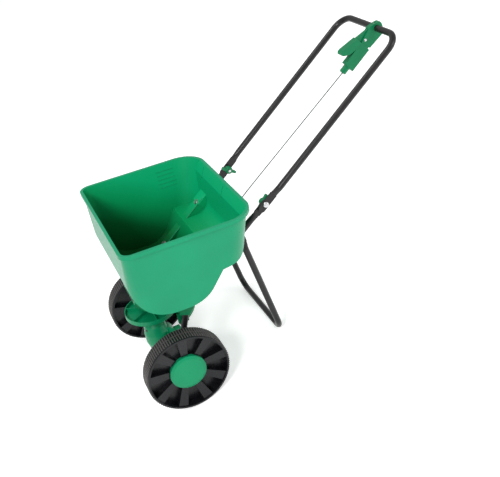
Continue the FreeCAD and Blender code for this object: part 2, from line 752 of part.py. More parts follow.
def shutoff_guides():
    """Two rails that carry the slide under the hopper flange."""
    rails = []
    for side in (-1, 1):
        rail = padded([("shutter_half + 0.4", "sump_z"), ("shutter_half + 0.4", "shutter_z - 0.4"),
                       ("shutter_half - 7", "shutter_z - 0.4"), ("shutter_half - 7", "178.2"),
                       ("flange_x", "178.2"), ("flange_x", "sump_z")],
                      "0 - shaft_y - flange_y", "0 - shaft_y + flange_y", "XZ_Plane")
        if side < 0:
            rail.Placement = Placement(Vector(0, 2 * size.shaft_y, 0), Rotation(Vector(0, 0, 1), 180))
        rails.append(rail)
    return node(group(*rails), "shutoff_guides")


def drop_chute():
    """Round chute that guides the grain onto the impeller, with the cable bracket behind it."""
    top = "chute_top"
    plate = box(("0 - flange_x", "shaft_y - flange_y", top), ("flange_x", "shaft_y + flange_y", "178.2"))
    tongue = box(("0 - 12", "shaft_y", top), ("cable_x + 10", "120", "178.2"))
    upright = box(("cable_x - 7", "94", top), ("cable_x + 7", "117", "190"))
    wall = cylinder("chute_radius", "chute_top + 1 - chute_bottom", frame(0, size.shaft_y, size.chute_bottom))
    throat = cylinder("chute_radius - 2.5", "70", frame(0, size.shaft_y, size.chute_bottom - 5))
    bore = cylinder("1.2", "30")
    bore.Placement = Placement(Vector(size.cable_x, 120, 184), Rotation(Vector(1, 0, 0), 90))
    return node(cut(fuse(plate, tongue, upright, wall), throat, bore), "drop_chute")


# ---------------------------------------------------------------- spinner drive

def impeller():
    """Spinning disc with an upturned lip and six throwing fins."""
    disc = turned([("shaft_radius", "impeller_z"), ("impeller_radius", "impeller_z"),
                   ("impeller_radius", "impeller_z + impeller_lip"),
                   ("impeller_radius - 2.5", "impeller_z + impeller_lip"),
                   ("impeller_radius - 2.5", "impeller_z + plate_thick"), ("14", "impeller_z + plate_thick"),
                   ("11", "impeller_z + 24"), ("shaft_radius", "impeller_z + 24")])
    fins = []
    for index in range(6):
        fin = box(("12", "0 - 1.2", "impeller_z + 1"), ("impeller_radius - 1", "1.2", "impeller_z + 13"))
        fin.Placement = Placement(Vector(), Rotation(Vector(0, 0, 1), 60 * index)).multiply(fin.Placement)
        fins.append(fin)
    return node(fuse(disc, *fins), "impeller", SHAFT)


def cross_pin(radius, reach):
    """Pin across the spinner shaft that drives the agitator, or the hole for it."""
    pin = cylinder(radius, str(2 * reach))
    pin.Placement = Placement(Vector(0, reach, 206), Rotation(Vector(1, 0, 0), 90))
    return pin


def spinner_shaft():
    shaft = cylinder("shaft_radius", "shaft_top - shaft_bottom", frame(0, 0, size.shaft_bottom))
    return node(cut(shaft, cross_pin("1.55", 15)), "spinner_shaft", SHAFT)


def agitator():
    """Hub with two bent stirring arms, just above the drop slots."""
    hub = turned([("shaft_radius", "197"), ("11", "197"), ("11", "215"), ("shaft_radius", "215")])
    arms = []
    for turn in (0, 180):
        arm = bent_tube([Vector(8, 0, 203), Vector(34, 0, 203), Vector(36, 0, 222)], [8], "3")
        arm.Placement = Placement(Vector(), Rotation(Vector(0, 0, 1), turn))
        arms.append(arm)
    return node(cut(fuse(hub, *arms), cross_pin("1.55", 15)), "agitator", SHAFT)


def agitator_pin():
    return node(cross_pin("1.5", 13), "agitator_pin", SHAFT)


def skew_gear(radius, teeth, width):
    """Forty-five degree skew gear: one toothed outline carried round as it climbs."""
    pitch = 360.0 / teeth
    root = radius - size.tooth_down
    tip = radius + size.tooth_up
    turns = max(3, int(math.degrees(width / radius) / 12) + 2)
    sections = []
    for step in range(turns + 1):
        height = -width / 2 + width * step / turns
        twist = math.degrees(height / radius)
        corners = []
        for tooth in range(teeth):
            for offset, distance in ((-0.27, root), (-0.11, tip), (0.11, tip), (0.27, root)):
                angle = math.radians((tooth + offset) * pitch + twist)
                corners.append(Vector(distance * math.cos(angle), distance * math.sin(angle), height))
        sections.append(Part.makePolygon(corners + [corners[0]]))
    return Part.makeLoft(sections, True, True)


def axle_gear():
    feature = doc.addObject("Part::Feature", "AxleGear")
    gear = skew_gear(size.axle_gear_radius, int(size.axle_gear_teeth), size.axle_gear_width)
    bore = Part.makeCylinder(size.axle_radius, 40, Vector(0, 0, -20))
    shape = gear.cut(bore)
    shape.Placement = Placement(Vector(), TO_X)
    feature.Shape = shape
    return node(feature, "axle_gear")


def spinner_gear():
    feature = doc.addObject("Part::Feature", "SpinnerGear")
    gear = skew_gear(size.spinner_gear_radius, int(size.spinner_gear_teeth), size.spinner_gear_width)
    shape = gear.cut(Part.makeCylinder(size.shaft_radius, 60, Vector(0, 0, -30)))
    shape.rotate(Vector(), Vector(0, 0, 1), 30)
    feature.Shape = shape
    return node(feature, "spinner_gear", SHAFT)


CASE_SCREWS = ((-57, 42, 9), (-52, -22, 9), (40, 0, 8))


def gear_case(side, name):
    """Half of the gear housing: a barrel round the spinner shaft and a drum round the axle."""
    barrel = turned([("0", "0 - 44"), ("18", "0 - 44"), ("30", "0 - 30"), ("36", "0 - 8"), ("37", "22"),
                     ("32", "50"), ("20", "70"), ("14", "88"), ("0", "88")])
    barrel.Placement = SHAFT
    drum = rod_x("29", "0 - 16", "16")
    boss = rod_x("15", "0 - 50", "50")
    lug = box(("0 - 11", "20", "0 - 5"), ("11", "50", "5"))
    rib = box(("0 - 44", "0 - 1.5", "0 - 22"), ("44", "1.5", "22"))
    hollow = turned([("0", "0 - 16"), ("24", "0 - 16"), ("32", "0"), ("33", "22"), ("26", "44"), ("0", "44")])
    hollow.Placement = SHAFT
    gear_room = rod_x("25", "0 - 12", "12")
    axle = rod_x("axle_radius + running_gap", "0 - 60", "60")
    shaft = cylinder("shaft_radius + running_gap", "88 + 40 - shaft_bottom",
                     frame(0, size.shaft_y, size.shaft_bottom - 0.2))
    screws = []
    for y, z, reach in CASE_SCREWS:
        screws.append(rod_x("2.1", "0 - " + str(reach + 0.2), "60", y, z))
        screws.append(rod_x("4.3", str(reach), "60", y, z))
    if side > 0:
        half = box(("0.05", "0 - 80", "0 - 60"), ("70", "70", "100"))
    else:
        half = box(("0 - 70", "0 - 80", "0 - 60"), ("0 - 0.05", "70", "100"))
    whole = cut(fuse(barrel, drum, boss, lug, rib), hollow, gear_room, axle, shaft, *screws)
    common = doc.addObject("Part::MultiCommon", "Half")
    common.Shapes = [whole, half]
    return node(common, name)


def gear_case_screws():
    screws = []
    for y, z, reach in CASE_SCREWS:
        screw = rod_x("2", "0 - " + str(reach), str(reach + 0.5), y, z)
        head = rod_x("4", str(reach + 0.1), str(reach + 3), y, z)
        screws.append(fuse(screw, head))
    return node(group(*screws), "gear_case_screws")


def rear_deflector():
    """Curved shield between the frame tubes, behind the impeller."""
    shield = cylinder("shield_radius", "52", frame(0, size.shaft_y, size.impeller_z))
    inside = cylinder("shield_radius - 3", "60", frame(0, size.shaft_y, size.impeller_z - 4))
    span = box(("5 - frame_x + tube_radius", "0 - 20", "impeller_z - 1"),
               ("frame_x - tube_radius - 5", "160", "impeller_z + 60"))
    wall = doc.addObject("Part::MultiCommon", "Wall")
    wall.Shapes = [cut(shield, inside), span]
    tabs = []
    for side in (-1, 1):
        low = "frame_x - tube_radius - 7" if side > 0 else "0 - frame_x + tube_radius + 0.3"
        high = "frame_x - tube_radius - 0.3" if side > 0 else "7 - frame_x + tube_radius"
        tabs.append(box((low, "24", "impeller_z + 8"), (high, "56", "impeller_z + 41")))
    return node(fuse(wall, *tabs), "rear_deflector")


def case_strut():
    """Steel strap that holds the gear case up to the hopper behind the impeller."""
    strap = padded([("30", "0 - 8.2"), ("62", "0 - 8.2"), ("62", "chute_top - 0.1"),
                    ("46", "chute_top - 0.1"), ("46", "chute_top - 3.1"), ("59", "chute_top - 3.1"),
                    ("59", "0 - 5.2"), ("30", "0 - 5.2")], "0 - 10", "10")
    return node(strap, "case_strut")


# ---------------------------------------------------------------- axle and wheels

def axle():
    bar = rod_x("axle_radius", "0 - axle_half", "axle_half")
    pin = cylinder("2", "40", frame(-(size.wheel_x + 12), 0, -20))
    return node(cut(bar, pin), "axle")


def drive_pin():
    """Cross pin that locks the driven wheel to the axle."""
    return node(cylinder("1.95", "29", frame(-(size.wheel_x + 12), 0, -14.5)), "drive_pin")


def axle_bush(side, name):
    bush = turned([("0 - 6", "axle_radius + running_gap"), ("0 - 6", "9"), ("3", "9"), ("3", "13"),
                   ("6", "13"), ("6", "axle_radius + running_gap")], "H_Axis")
    turn = Rotation(Vector(0, 0, 1), 0 if side > 0 else 180)
    bush.Placement = Placement(Vector(side * size.frame_x, 0, 0), turn)
    return node(bush, name)


def axle_spacers():
    spacers = []
    for side in (-1, 1):
        spacer = turned([("frame_x + 6.3", "axle_radius + 0.02"), ("frame_x + 6.3", "9"),
                         ("wheel_x + 1.2", "9"), ("wheel_x + 1.2", "axle_radius + 0.02")], "H_Axis")
        spacer.Placement = Placement(Vector(), Rotation(Vector(0, 0, 1), 0 if side > 0 else 180))
        spacers.append(spacer)
    return node(group(*spacers), "axle_spacers")


def push_nuts():
    """Push-on retaining nuts on the ends of the axle."""
    nuts = []
    for side in (-1, 1):
        nut = turned([("wheel_x + seat_far + 0.3", "axle_radius"), ("wheel_x + seat_far + 0.3", "11"),
                      ("wheel_x + seat_far + 2", "11"), ("wheel_x + seat_far + 3.5", "axle_radius")], "H_Axis")
        nut.Placement = Placement(Vector(), Rotation(Vector(0, 0, 1), 0 if side > 0 else 180))
        nuts.append(nut)
    return node(group(*nuts), "push_nuts")


def wheel(side, name, bore):
    """Moulded wheel: tread ring, web, hub, cap seat and nine wide spokes."""
    far = "wheel_width"
    inside = "wheel_radius - tread_thick"
    body = turned([("1.5", bore), ("1.5", "hub_radius"), ("web_near", "hub_radius"), ("web_near", inside),
                   ("0", inside), ("0", "wheel_radius - 3"), ("3", "wheel_radius"),
                   ("wheel_width - 3", "wheel_radius"), (far, "wheel_radius - 3"), (far, inside),
                   ("web_far", inside), ("web_far", "seat_radius"), ("seat_far", "seat_radius"),
                   ("seat_far", "seat_radius - 6"), ("web_far", "seat_radius - 6"), ("web_far", "hub_radius"),
                   ("seat_far", "hub_radius"), ("seat_far", bore)], "H_Axis")
    half = "spoke_width / 2"
    sketch = outline(body, [("0 - spoke_root / 2", "seat_radius - 4"), ("spoke_root / 2", "seat_radius - 4"),
                            (half, "wheel_radius - tread_thick + 3"),
                            ("0 - " + half, "wheel_radius - tread_thick + 3")], "YZ_Plane", "4")
    spoke = body.newObject("PartDesign::Pad", "Spoke")
    spoke.Profile = sketch
    spoke.setExpression("Length", expression("wheel_width - 7.5"))
    doc.recompute()
    ring = body.newObject("PartDesign::PolarPattern", "Spokes")
    ring.Originals = [spoke]
    ring.Axis = (sketch, ["N_Axis"])
    ring.Angle = 360
    ring.setExpression("Occurrences", expression("spokes"))
    body.Tip = ring
    cap_room = rod_x("cap_radius + 0.4", "seat_far", "wheel_width + 1")
    slope = turned([("wheel_width + 1", "seat_radius - 5"), ("seat_far + 4", "seat_radius - 5"),
                    ("wheel_width - 3", "wheel_radius - tread_thick"),
                    ("wheel_width + 1", "wheel_radius - tread_thick")], "H_Axis")
    tools = [cap_room, slope]
    if side < 0:
        tools.append(cylinder("2", "60", frame(12, 0, -30)))
    finished = cut(body, *tools)
    turn = Rotation(Vector(0, 0, 1), 0 if side > 0 else 180)
    finished.Placement = Placement(Vector(side * size.wheel_x, 0, 0), turn)
    return node(finished, name)


def hub_cap(side, name):
    """Round cap that snaps over the end of the axle."""
    rim = "cap_radius"
    cap = turned([("51.5", "0"), ("51.2", "32"), ("50", "47"), ("46", rim), ("36.2", rim),
                  ("36.2", "cap_radius - 3"), ("44", "cap_radius - 3"), ("47.5", "45"), ("48.5", "31"),
                  ("48.8", "0")], "H_Axis")
    turn = Rotation(Vector(0, 0, 1), 0 if side > 0 else 180)
    cap.Placement = Placement(Vector(side * size.wheel_x, 0, 0), turn)
    return node(cap, name)


# ---------------------------------------------------------------- assembly

def build():
    hopper()
    hopper_bolts()
    frame_tube(1, "frame_tube_left")
    frame_tube(-1, "frame_tube_right")
    frame_saddles()
    stand()
    stand_bolts()
    carriage_bolt(1, "carriage_bolt_left")
    carriage_bolt(-1, "carriage_bolt_right")
    wing_nut(1, "wing_nut_left", -80)
    wing_nut(-1, "wing_nut_right", -20)
    handle()
    trigger_bracket()
    trigger_clamp()
    trigger_screws()
    trigger_lever()
    trigger_pin()
    trigger_spring()
    cable_adjuster()
    cable_upper()
    cable_lower()
    shutoff_plate()
    pull_wire()
    shutoff_guides()
    drop_chute()
    impeller()
    spinner_shaft()
    agitator()
    agitator_pin()
    axle_gear()
    spinner_gear()
    gear_case(1, "gear_case_left")
    gear_case(-1, "gear_case_right")
    gear_case_screws()
    rear_deflector()
    case_strut()
    axle()
    drive_pin()
    axle_bush(1, "axle_bush_left")
    axle_bush(-1, "axle_bush_right")
    axle_spacers()
    push_nuts()
    wheel(1, "wheel_left", "axle_radius + running_gap")
    wheel(-1, "wheel_right", "axle_radius")
    hub_cap(1, "hub_cap_left")
    hub_cap(-1, "hub_cap_right")
    doc.recompute()


def park():
    """Tip the whole spreader back onto its stand and centre it over the ground."""
    reach = math.hypot(size.stand_y, size.stand_z)
    drop = (size.wheel_radius - size.tube_radius) / reach
    tip = math.degrees(math.asin(drop) - math.atan2(-size.stand_z, size.stand_y))
    lean = Placement(Vector(0, 0, size.wheel_radius), Rotation(Vector(1, 0, 0), -tip))
    for solid in nodes:
        solid.Placement = lean.multiply(solid.Placement)
    doc.recompute()
    whole = Part.makeCompound([solid.Shape for solid in nodes]).optimalBoundingBox(False, False)
    middle = (whole.YMin + whole.YMax) / 2
    for solid in nodes:
        solid.Placement = Placement(Vector(0, -middle, 0), Rotation()).multiply(solid.Placement)
    doc.recompute()
    print("tip", round(tip, 3), "middle", round(middle, 3), whole)


def export():
    for item in doc.Objects:
        if "Invalid" in item.State or "Error" in item.State:
            raise RuntimeError(item.Name + " " + item.Label + " " + str(item.State))
    for solid in nodes:
        if solid.Shape.isNull() or not solid.Shape.isValid() or not solid.Shape.Solids:
            raise RuntimeError("bad shape " + solid.Label)
    os.makedirs("parts", exist_ok=True)
    for solid in nodes:
        solid.Shape.exportStep("parts/" + solid.Label + ".step")
    print(len(nodes), "nodes written")


build()
park()
export()
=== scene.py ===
import json
import math

import bmesh
import bpy
from mathutils import Matrix, Vector
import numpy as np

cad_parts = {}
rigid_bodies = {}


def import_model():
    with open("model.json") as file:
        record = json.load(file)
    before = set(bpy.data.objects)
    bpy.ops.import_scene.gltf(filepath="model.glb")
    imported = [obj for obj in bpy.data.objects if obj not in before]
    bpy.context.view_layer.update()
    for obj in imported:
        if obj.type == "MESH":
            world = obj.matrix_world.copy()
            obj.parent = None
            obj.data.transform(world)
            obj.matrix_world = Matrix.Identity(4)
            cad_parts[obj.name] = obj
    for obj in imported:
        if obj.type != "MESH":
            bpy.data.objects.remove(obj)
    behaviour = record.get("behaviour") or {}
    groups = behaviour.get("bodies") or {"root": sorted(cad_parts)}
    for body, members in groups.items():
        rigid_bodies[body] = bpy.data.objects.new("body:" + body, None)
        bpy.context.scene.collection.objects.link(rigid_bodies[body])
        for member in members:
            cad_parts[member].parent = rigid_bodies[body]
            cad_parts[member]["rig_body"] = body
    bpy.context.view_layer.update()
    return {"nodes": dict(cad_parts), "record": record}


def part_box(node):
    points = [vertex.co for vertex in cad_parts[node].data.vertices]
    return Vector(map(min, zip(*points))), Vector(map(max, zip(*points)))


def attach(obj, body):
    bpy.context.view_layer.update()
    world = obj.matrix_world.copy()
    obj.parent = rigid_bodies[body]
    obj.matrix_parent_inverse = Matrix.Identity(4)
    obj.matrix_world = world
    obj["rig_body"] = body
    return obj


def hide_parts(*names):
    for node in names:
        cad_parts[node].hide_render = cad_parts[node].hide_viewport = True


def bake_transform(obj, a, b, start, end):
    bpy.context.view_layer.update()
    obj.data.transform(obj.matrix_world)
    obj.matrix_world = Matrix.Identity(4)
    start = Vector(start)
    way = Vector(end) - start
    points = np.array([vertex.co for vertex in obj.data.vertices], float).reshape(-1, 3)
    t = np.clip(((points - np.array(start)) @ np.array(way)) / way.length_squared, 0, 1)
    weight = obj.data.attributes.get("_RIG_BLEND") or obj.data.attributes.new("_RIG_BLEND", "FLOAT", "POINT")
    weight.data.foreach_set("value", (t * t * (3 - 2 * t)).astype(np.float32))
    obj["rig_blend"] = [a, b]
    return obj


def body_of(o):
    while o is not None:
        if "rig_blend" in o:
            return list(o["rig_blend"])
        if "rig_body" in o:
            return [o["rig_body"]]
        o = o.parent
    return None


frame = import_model()
NODES = frame["nodes"]

# Garden spreader. Metres, row frame: +Z up, +Y towards the crossbar, +X towards the operator's left.
# A "level" place is given from the middle of the axle, with the hopper rim level.

LEAN = math.radians(23.833)       # from the camera's level attitude to the parked one, about X
PARKED = math.radians(14.498)     # from the hopper's level attitude to the parked one, about X
WHEEL_LOW, WHEEL_HIGH = (Vector(corner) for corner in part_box("wheel_left"))
AXLE = Vector((0, (WHEEL_LOW.y + WHEEL_HIGH.y) / 2, (WHEEL_LOW.z + WHEEL_HIGH.z) / 2))
LEVEL = Matrix.Translation(AXLE) @ Matrix.Rotation(-PARKED, 4, "X")

FOLD_Y, FOLD_Z = 0.339, 0.401     # fold line of the handle, level
TILT = math.radians(38.5)         # rise of the upper tubes, level
RIM_HEIGHT = 0.442                # hopper rim, level
RIM_INSIDE = 0.235                # inner face of a side wall at the rim, across the machine
SIDE_LEAN = math.radians(9)       # lean of the side walls


def level(x, y, z):
    """A level place, in the row frame."""
    return LEVEL @ Vector((x, y, z))


def on_handle(x, along, out):
    """A place given along the upper tubes from the fold line, in the row frame."""
    return level(x, FOLD_Y + along * math.cos(TILT) - out * math.sin(TILT),
                 FOLD_Z + along * math.sin(TILT) + out * math.cos(TILT))


def show(name, data):
    """Puts a mesh, curve, lamp or camera in the scene, as an object of that name."""
    item = bpy.data.objects.new(name, data)
    bpy.context.scene.collection.objects.link(item)
    return item


# ---------------------------------------------------------------- camera

CAMERA_AZIMUTH = math.radians(66.52)
CAMERA_ELEVATION = math.radians(27.32)
CAMERA_DISTANCE = 2.3746
CAMERA_TARGET = Vector((0, 0.28535, 0.2702))
FOCAL_LENGTH = 55.71              # millimetres, on a sensor 36 mm wide


def add_camera():
    flat = math.cos(CAMERA_ELEVATION)
    back = Vector((math.sin(CAMERA_AZIMUTH) * flat, -math.cos(CAMERA_AZIMUTH) * flat,
                   math.sin(CAMERA_ELEVATION)))
    right = Vector((math.cos(CAMERA_AZIMUTH), math.sin(CAMERA_AZIMUTH), 0))
    up = back.cross(right)
    place = Matrix.Identity(4)
    for column, axis in enumerate((right, up, back, CAMERA_TARGET + back * CAMERA_DISTANCE)):
        for row in range(3):
            place[row][column] = axis[row]
    camera = show("Camera", bpy.data.cameras.new("Camera"))
    camera.data.sensor_width = 36
    camera.data.lens = FOCAL_LENGTH
    camera.data.clip_start = 0.05
    camera.data.dof.use_dof = False
    camera.matrix_world = Matrix.Translation(AXLE) @ Matrix.Rotation(-LEAN, 4, "X") @ place
    bpy.context.scene.camera = camera


# ---------------------------------------------------------------- materials

NOISE_LOW, NOISE_HIGH = 0.3, 0.7              # where most of a noise's values lie
MIX_FIRST, MIX_SECOND, MIX_RESULT = 6, 7, 2   # the colour sockets of a Mix node
GRAIN_DEPTH = 0.00004
FLOW_DEPTH = 0.0006


def shade(colour, factor):
    return tuple(min(1.0, channel * factor) for channel in colour)


class Recipe:
    """A material's node tree, with short calls for the nodes that the recipes share."""

    def __init__(self, name):
        self.material = bpy.data.materials.new(name)
        self.material.use_nodes = True
        self.tree = self.material.node_tree
        self.shader = self.tree.nodes["Principled BSDF"]
        self.where = self.tree.nodes.new("ShaderNodeTexCoord").outputs["Object"]

    def feed(self, socket, source):
        """Joins an input to an output, or gives it a fixed value."""
        if isinstance(source, bpy.types.NodeSocket):
            self.tree.links.new(source, socket)
        else:
            socket.default_value = source

    def surface(self, **inputs):
        """Feeds the shader's inputs, named with underscores for spaces."""
        for name, source in inputs.items():
            self.feed(self.shader.inputs[name.replace("_", " ")], source)

    def noise(self, scale, detail, stretch=None):
        place = self.where
        if stretch:
            mapping = self.tree.nodes.new("ShaderNodeMapping")
            mapping.inputs["Scale"].default_value = stretch
            self.feed(mapping.inputs["Vector"], place)
            place = mapping.outputs["Vector"]
        node = self.tree.nodes.new("ShaderNodeTexNoise")
        node.inputs["Scale"].default_value = scale
        node.inputs["Detail"].default_value = detail
        self.feed(node.inputs["Vector"], place)
        return node.outputs["Fac"]

    def ramp(self, source, stops):
        node = self.tree.nodes.new("ShaderNodeValToRGB")
        while len(node.color_ramp.elements) < len(stops):
            node.color_ramp.elements.new(0.5)
        for element, (position, colour) in zip(node.color_ramp.elements, stops):
            element.position = position
            element.color = (*colour, 1)
        self.feed(node.inputs["Fac"], source)
        return node.outputs["Color"]

    def mottle(self, source, colour, low, high):
        """The colour times a factor, which goes from low to high with a noise."""
        return self.ramp(source, [(NOISE_LOW, shade(colour, low)), (NOISE_HIGH, shade(colour, high))])

    def span(self, source, low, high):
        """A number that goes from low to high with a noise."""
        node = self.tree.nodes.new("ShaderNodeMapRange")
        node.inputs["From Min"].default_value = NOISE_LOW
        node.inputs["From Max"].default_value = NOISE_HIGH
        node.inputs["To Min"].default_value = low
        node.inputs["To Max"].default_value = high
        self.feed(node.inputs["Value"], source)
        return node.outputs["Result"]

    def work_out(self, kind, operation, first, second):
        node = self.tree.nodes.new(kind)
        node.operation = operation
        self.feed(node.inputs[0], first)
        self.feed(node.inputs[1], second)
        return node

    def math(self, operation, first, second):
        return self.work_out("ShaderNodeMath", operation, first, second).outputs["Value"]

    def dot(self, first, second):
        return self.work_out("ShaderNodeVectorMath", "DOT_PRODUCT", first, second).outputs["Value"]

    def towards(self, target):
        """The vector from the shaded point to a target."""
        return self.work_out("ShaderNodeVectorMath", "SUBTRACT", target, self.where).outputs["Vector"]

    def mix(self, factor, first, second):
        node = self.tree.nodes.new("ShaderNodeMix")
        node.data_type = "RGBA"
        self.feed(node.inputs["Factor"], factor)
        self.feed(node.inputs[MIX_FIRST], first)
        self.feed(node.inputs[MIX_SECOND], second)
        return node.outputs[MIX_RESULT]

    def bump(self, heights):
        """Chain of bumps: each height is (source, strength, distance in metres)."""
        normal = None
        for source, strength, distance in heights:
            node = self.tree.nodes.new("ShaderNodeBump")
            node.inputs["Strength"].default_value = strength
            node.inputs["Distance"].default_value = distance
            self.feed(node.inputs["Height"], source)
            if normal:
                self.feed(node.inputs["Normal"], normal)
            normal = node.outputs["Normal"]
        self.surface(Normal=normal)

    def moulding(self, rough, grain, specular):
        """Gloss, fine grain and scuffs of moulded plastic. Returns the noise of its flow."""
        flow = self.noise(9, 4)
        fine = self.noise(2600, 2)
        scuff = self.noise(70, 6, (1, 5, 2))
        self.surface(Roughness=self.span(scuff, *rough), Specular_IOR_Level=specular)
        self.bump([(fine, grain, GRAIN_DEPTH), (flow, 0.12, FLOW_DEPTH)])
        return flow


def moulded_plastic(name, colour, rough=(0.3, 0.42), uneven=0.07, specular=0.3):
    """Injection-moulded plastic, with faint flow mottling."""
    recipe = Recipe(name)
    flow = recipe.moulding(rough, 0.35, specular)
    recipe.surface(Base_Color=recipe.mottle(flow, colour, 1 - uneven, 1 + uneven))
    return recipe.material


HOPPER_GREEN = (0.001, 0.255, 0.118)
HOPPER_MIDDLE = (0, 0.085, 0.4)           # a level place that all the inner faces look towards
INSIDE_PAINTED_SHADES = [(0.42, (0.0004, 0.05, 0.008)), (0.62, (0.0005, 0.1, 0.024)),
                 (0.8, (0.0008, 0.26, 0.085)), (0.98, (0.002, 0.37, 0.15))]   # painted shade and light of the inside, by rim heights
NO_PAINTED_LIGHT_Y = 0.04                          # level Y behind which the painted shade of the inside is lifted towards painted light
PAINTED_LIGHT_LIFT = 1.1                                # rim heights per metre behind it
UNEVEN = 0.05                             # rim heights, with the flow


def hopper_plastic():
    """The green plastic of the hopper, with painted shade on its inside: darker towards the bottom and front,
    lighter towards the rim and back.
    """
    recipe = Recipe("HopperPlastic")
    flow = recipe.moulding((0.27, 0.38), 0.3, 0.22)
    up = LEVEL.to_3x3() @ Vector((0, 0, 1))
    back = LEVEL.to_3x3() @ Vector((0, 1, 0))
    height = recipe.math("SUBTRACT", recipe.dot(recipe.where, up), AXLE.dot(up))
    behind = recipe.math("SUBTRACT", recipe.dot(recipe.where, back), AXLE.dot(back) + NO_PAINTED_LIGHT_Y)
    uneven = recipe.math("MULTIPLY", recipe.math("SUBTRACT", flow, 0.5), UNEVEN)
    painted_light = recipe.math("ADD", uneven, recipe.math("MULTIPLY", behind, PAINTED_LIGHT_LIFT))
    shade_depth = recipe.math("ADD", recipe.math("DIVIDE", height, RIM_HEIGHT), painted_light)
    normal = recipe.tree.nodes.new("ShaderNodeNewGeometry").outputs["Normal"]
    facing_in = recipe.math("GREATER_THAN", recipe.dot(recipe.towards(level(*HOPPER_MIDDLE)), normal), 0.0)
    outside = recipe.mottle(flow, HOPPER_GREEN, 0.95, 1.05)
    # Painted shade and light: the inside is darker towards the bottom and front, lighter towards the rim and
    # back.
    painted_inside = recipe.ramp(shade_depth, INSIDE_PAINTED_SHADES)
    recipe.surface(Base_Color=recipe.mix(facing_in, outside, painted_inside))
    return recipe.material


def powder_coat(name, colour):
    """Powder-coated steel: fine orange peel with rubbed, slightly brighter patches."""
    recipe = Recipe(name)
    peel = recipe.noise(900, 2)
    rub = recipe.noise(24, 5)
    rubbed = recipe.ramp(rub, [(NOISE_LOW, shade(colour, 0.8)), (0.62, colour), (0.78, shade(colour, 1.45))])
    recipe.surface(Base_Color=rubbed, Roughness=recipe.span(rub, 0.27, 0.4), Specular_IOR_Level=0.3,
                   Coat_Weight=0.1, Coat_Roughness=0.12)
    recipe.bump([(peel, 0.45, 0.00012)])
    return recipe.material


def plated_steel(name, colour, rough=(0.22, 0.42)):
    """Zinc-plated steel with drawn streaks and dull spangle."""
    recipe = Recipe(name)
    streak = recipe.noise(420, 4, (0.15, 1, 1))
    spangle = recipe.noise(160, 2)
    spangled = recipe.ramp(spangle, [(0.35, shade(colour, 0.82)), (0.65, colour)])
    recipe.surface(Base_Color=spangled, Roughness=recipe.span(streak, *rough), Metallic=1)
    recipe.bump([(streak, 0.25, 0.00005)])
    return recipe.material


def cable_sheath(name, colour):
    """Thin extruded cable cover with lengthwise drag marks."""
    recipe = Recipe(name)
    drag = recipe.noise(700, 3, (1, 0.08, 0.12))
    recipe.surface(Base_Color=recipe.mottle(drag, colour, 0.75, 1.2), Roughness=recipe.span(drag, 0.35, 0.5))
    recipe.bump([(drag, 0.3, GRAIN_DEPTH)])
    return recipe.material


FINISHES = {
    "hopper_plastic": hopper_plastic(),
    "green_plastic": moulded_plastic("GreenPlastic", (0.001, 0.24, 0.1), specular=0.22),
    "trigger_plastic": moulded_plastic("TriggerPlastic", (0.0006, 0.165, 0.062), (0.28, 0.4), 0.12, 0.22),
    "black_plastic": moulded_plastic("BlackPlastic", (0.009, 0.0092, 0.01)),
    "white_plastic": moulded_plastic("WhitePlastic", (0.6, 0.59, 0.54), (0.35, 0.5)),
    "wheel_plastic": moulded_plastic("WheelPlastic", (0.005, 0.0052, 0.007), (0.24, 0.36), 0.25, 0.32),
    # The tread ribs' lighter colour is a painted highlight.
    "painted_highlight_tread": moulded_plastic("PaintedHighlightTread", (0.085, 0.079, 0.077), (0.4, 0.55), 0.35, 0.35),
    "dark_tube": powder_coat("DarkTube", (0.011, 0.01, 0.0105)),
    "zinc": plated_steel("Zinc", (0.62, 0.62, 0.63)),
    "spring_wire": plated_steel("SpringWire", (0.42, 0.42, 0.44), (0.2, 0.34)),
    "cable_sheath": cable_sheath("CableSheath", (0.003, 0.028, 0.02)),
}

# Nodes that look different from the rest of their slot: the hopper, with painted shade inside, and the deeper
# green parts.
OWN_FINISHES = {"hopper": "hopper_plastic"}
for deeper in ("trigger_bracket", "trigger_clamp", "trigger_lever", "cable_adjuster", "wing_nut_left",
               "wing_nut_right", "drop_chute", "rear_deflector", "frame_saddles"):
    OWN_FINISHES[deeper] = "trigger_plastic"


def paint(mesh, *finishes):
    """Fills a mesh's material slots. Clearing them first puts all its faces in slot 0."""
    mesh.materials.clear()
    for finish in finishes:
        mesh.materials.append(FINISHES[finish])


def finish_cad_nodes():
    for part in frame["record"]["subparts"]:
        paint(NODES[part["node"]].data, OWN_FINISHES.get(part["node"], part["material_slot"]))


# ---------------------------------------------------------------- tubes

def tube_along(name, points, radius, facets, smooth=False):
    """Round tube through points in the row frame, as a mesh, with the path that its middle follows."""
    curve = bpy.data.curves.new(name, "CURVE")
    curve.dimensions = "3D"
    spline = curve.splines.new("NURBS" if smooth else "POLY")
    spline.points.add(len(points) - 1)
    for point, place in zip(spline.points, points):
        point.co = (*place, 1)
    if smooth:
        spline.order_u = 3
        spline.use_endpoint_u = True
        spline.resolution_u = 16
    guide = show(name, curve)
    bpy.context.view_layer.update()
    line = bpy.data.meshes.new_from_object(guide)
    path = [vertex.co.copy() for vertex in line.vertices]
    curve.bevel_depth = radius
    curve.bevel_resolution = facets
    curve.use_fill_caps = True
    bpy.context.view_layer.update()
    tube = bpy.data.meshes.new_from_object(guide.evaluated_get(bpy.context.evaluated_depsgraph_get()))
    bpy.data.objects.remove(guide)
    return tube, path


# ---------------------------------------------------------------- hopper details

